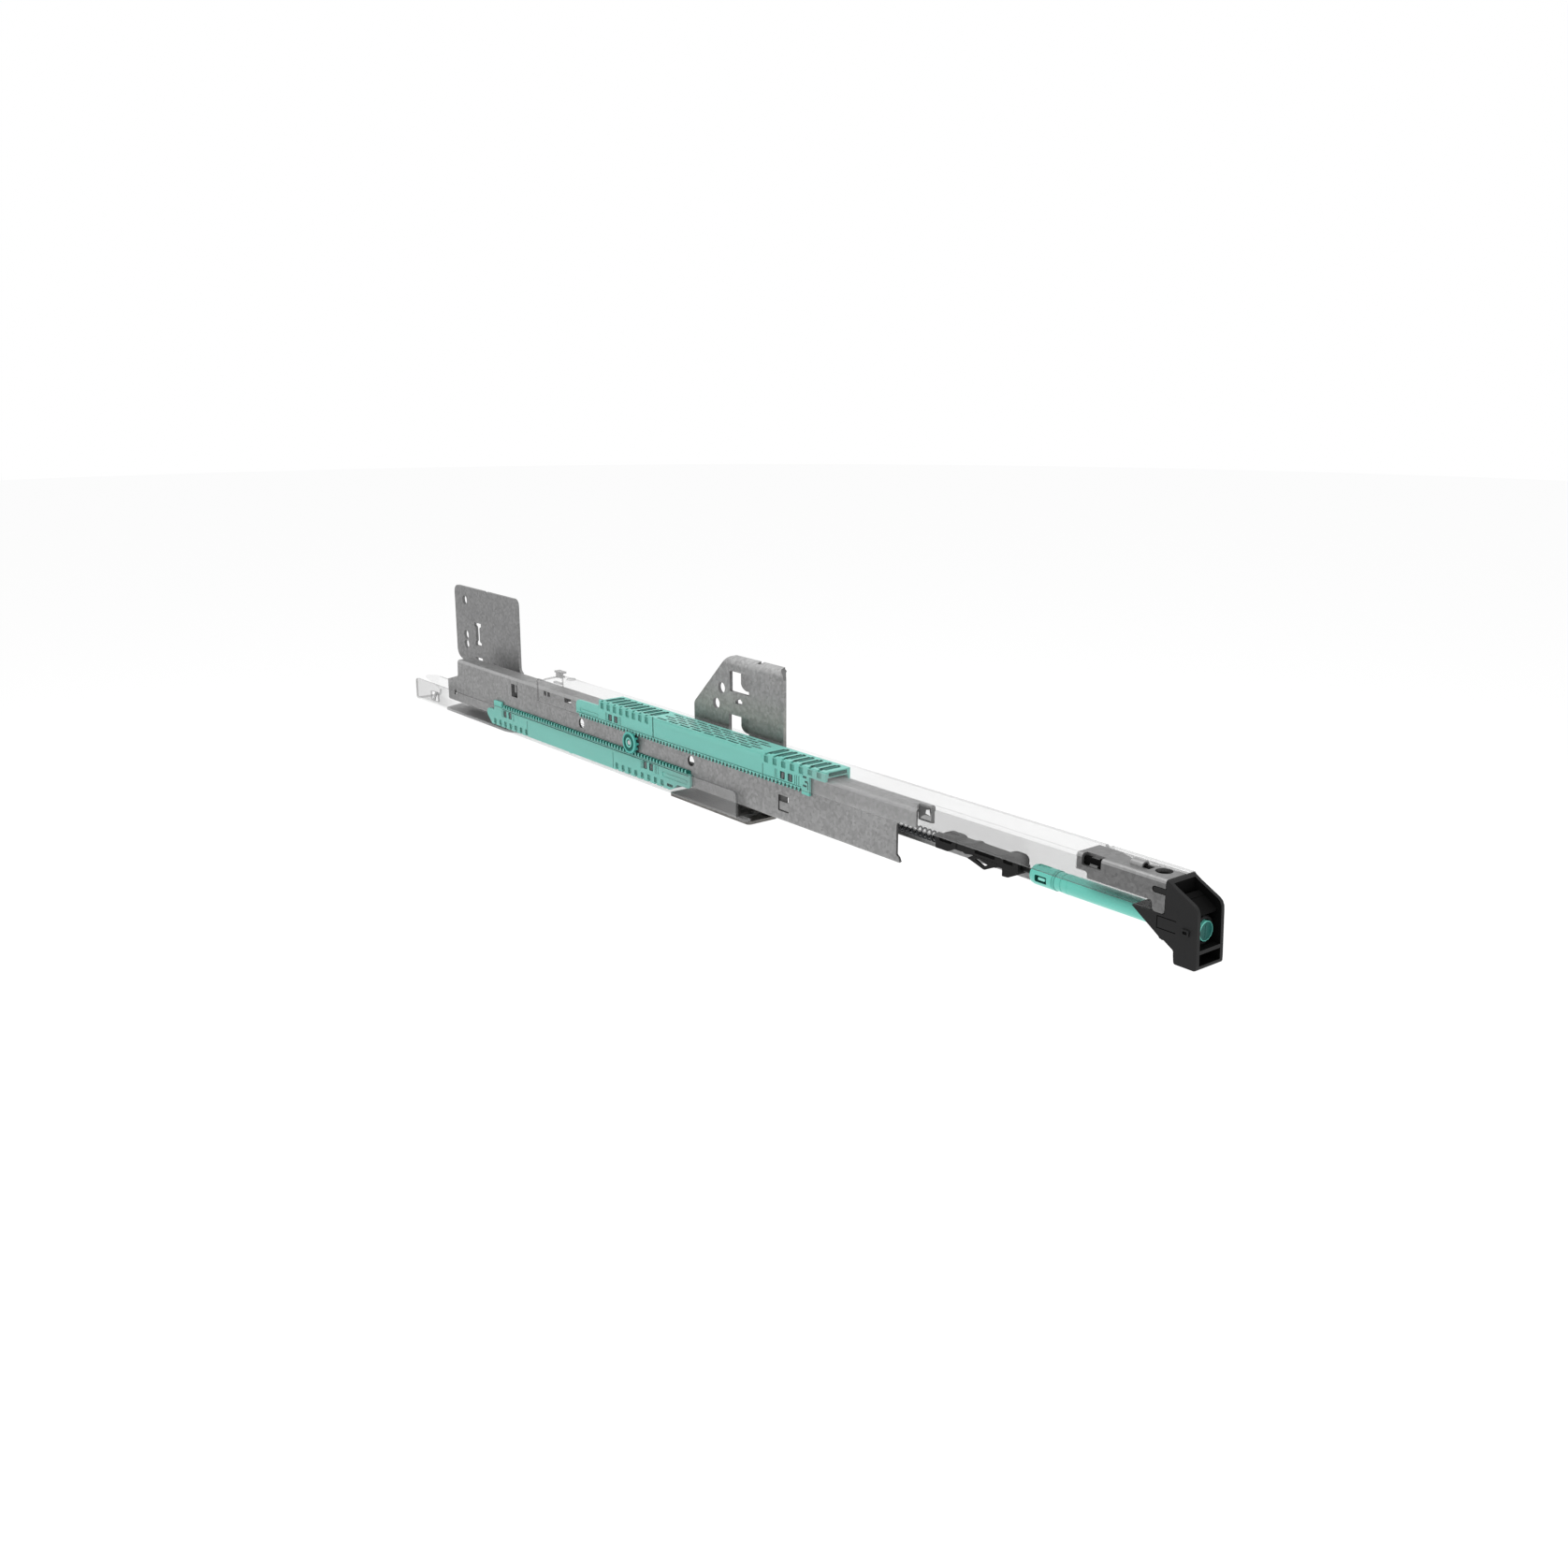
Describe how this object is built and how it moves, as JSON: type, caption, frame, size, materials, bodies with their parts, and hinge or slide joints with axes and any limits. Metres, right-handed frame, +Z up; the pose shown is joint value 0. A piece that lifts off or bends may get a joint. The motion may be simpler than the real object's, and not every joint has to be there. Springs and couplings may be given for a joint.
{
  "type": "undermount drawer slide",
  "caption": "Undermount cabinet drawer slide: three nested rails on geared roller cages, two wall brackets, front connector, damped self-closing catch.",
  "frame": {"origin": "on the rear bracket's wall face, 78 mm ahead of the cabinet rail's rear end and 58 mm above its underside", "axes": "+X towards the drawer front along the travel, +Y into the cabinet's side wall, +Z up"},
  "size_m": [0.702, 0.0273, 0.0845],
  "materials": {
    "galvanised_steel": "galvanised sheet steel, fine spangle, bright sheared edges",
    "see_through_steel": "sheet steel drawn see-through, as the reference shows the cabinet and drawer rails",
    "teal_plastic": "satin moulded acetal",
    "teal_roller": "polished moulded acetal",
    "teal_damper": "smooth moulded plastic",
    "black_plastic": "fine-grained moulded plastic",
    "black_slide_plastic": "smooth moulded plastic",
    "bright_steel": "bright turned steel",
    "spring_steel": "drawn spring wire"
  },
  "bodies": {
    "cabinet": {"cabinet_rail": "see_through_steel", "rear_bracket": "galvanised_steel", "cabinet_bracket": "galvanised_steel", "activator_finger": "black_plastic"},
    "middle": {"middle_rail": "galvanised_steel", "pinion_axle": "bright_steel"},
    "pinion": {"sync_pinion": "teal_plastic"},
    "upper_cage": {"upper_cage": "teal_plastic", "upper_roller_01": "teal_roller", "upper_roller_02": "teal_roller", "upper_roller_03": "teal_roller", "upper_roller_04": "teal_roller", "upper_roller_05": "teal_roller", "upper_roller_06": "teal_roller", "upper_roller_07": "teal_roller", "upper_roller_08": "teal_roller", "upper_roller_09": "teal_roller", "upper_roller_10": "teal_roller", "upper_roller_11": "teal_roller", "upper_roller_12": "teal_roller", "upper_roller_13": "teal_roller", "upper_roller_14": "teal_roller", "upper_roller_15": "teal_roller", "upper_side_roller_1": "bright_steel", "upper_side_roller_2": "bright_steel", "upper_side_roller_3": "bright_steel", "upper_side_roller_4": "bright_steel"},
    "lower_cage": {"lower_cage": "teal_plastic", "lower_roller_01": "teal_roller", "lower_roller_02": "teal_roller", "lower_roller_03": "teal_roller", "lower_roller_04": "teal_roller", "lower_roller_05": "teal_roller", "lower_roller_06": "teal_roller", "lower_roller_07": "teal_roller", "lower_roller_08": "teal_roller", "lower_roller_09": "teal_roller", "lower_roller_10": "teal_roller", "lower_roller_11": "teal_roller", "lower_roller_12": "teal_roller", "lower_roller_13": "teal_roller", "lower_side_roller_1": "bright_steel", "lower_side_roller_2": "bright_steel", "lower_side_roller_3": "bright_steel", "lower_side_roller_4": "bright_steel"},
    "drawer": {"drawer_rail": "see_through_steel", "front_connector": "galvanised_steel", "end_cap": "black_plastic", "damper_cylinder": "teal_damper", "damper_collar": "teal_damper", "damper_end_plug": "teal_damper", "catch_carrier": "galvanised_steel", "spring_seat": "black_plastic"},
    "catch": {"catch_slider": "black_slide_plastic", "damper_rod": "black_slide_plastic", "closing_spring": "spring_steel"},
    "claw": {"catch_claw": "black_slide_plastic"}
  },
  "joints": [
    {"name": "drawer_slide", "type": "slide", "parent": "cabinet", "child": "drawer", "axis": [1, 0, 0], "range_m": [-0.26, 0.235]},
    {"name": "middle_slide", "type": "slide", "parent": "cabinet", "child": "middle", "axis": [1, 0, 0], "range_m": [-0.131, 0.1185]},
    {"name": "lower_cage_slide", "type": "slide", "parent": "cabinet", "child": "lower_cage", "axis": [1, 0, 0], "range_m": [-0.0655, 0.0593]},
    {"name": "upper_cage_slide", "type": "slide", "parent": "middle", "child": "upper_cage", "axis": [1, 0, 0], "range_m": [-0.0655, 0.0593]},
    {"name": "pinion_spin", "type": "hinge", "parent": "middle", "child": "pinion", "pos_m": [0.1947, -0.025, -0.0359], "axis": [0, 1, 0], "range_deg": [-630, 570]},
    {"name": "catch_slide", "type": "slide", "parent": "drawer", "child": "catch", "axis": [1, 0, 0], "range_m": [-0.04, 0], "stiffness_N_per_m": 200, "deforming": ["closing_spring"]},
    {"name": "claw_tilt", "type": "hinge", "parent": "catch", "child": "claw", "pos_m": [0.469, -0.0169, -0.0365], "axis": [0, 1, 0], "range_deg": [0, 10]}
  ],
  "couplings": [
    {"joint": "middle_slide", "follows": "drawer_slide", "ratio": 0.5},
    {"joint": "lower_cage_slide", "follows": "drawer_slide", "ratio": 0.25},
    {"joint": "upper_cage_slide", "follows": "drawer_slide", "ratio": 0.25},
    {"joint": "pinion_spin", "follows": "drawer_slide", "rad_per_m": 41.667}
  ]
}
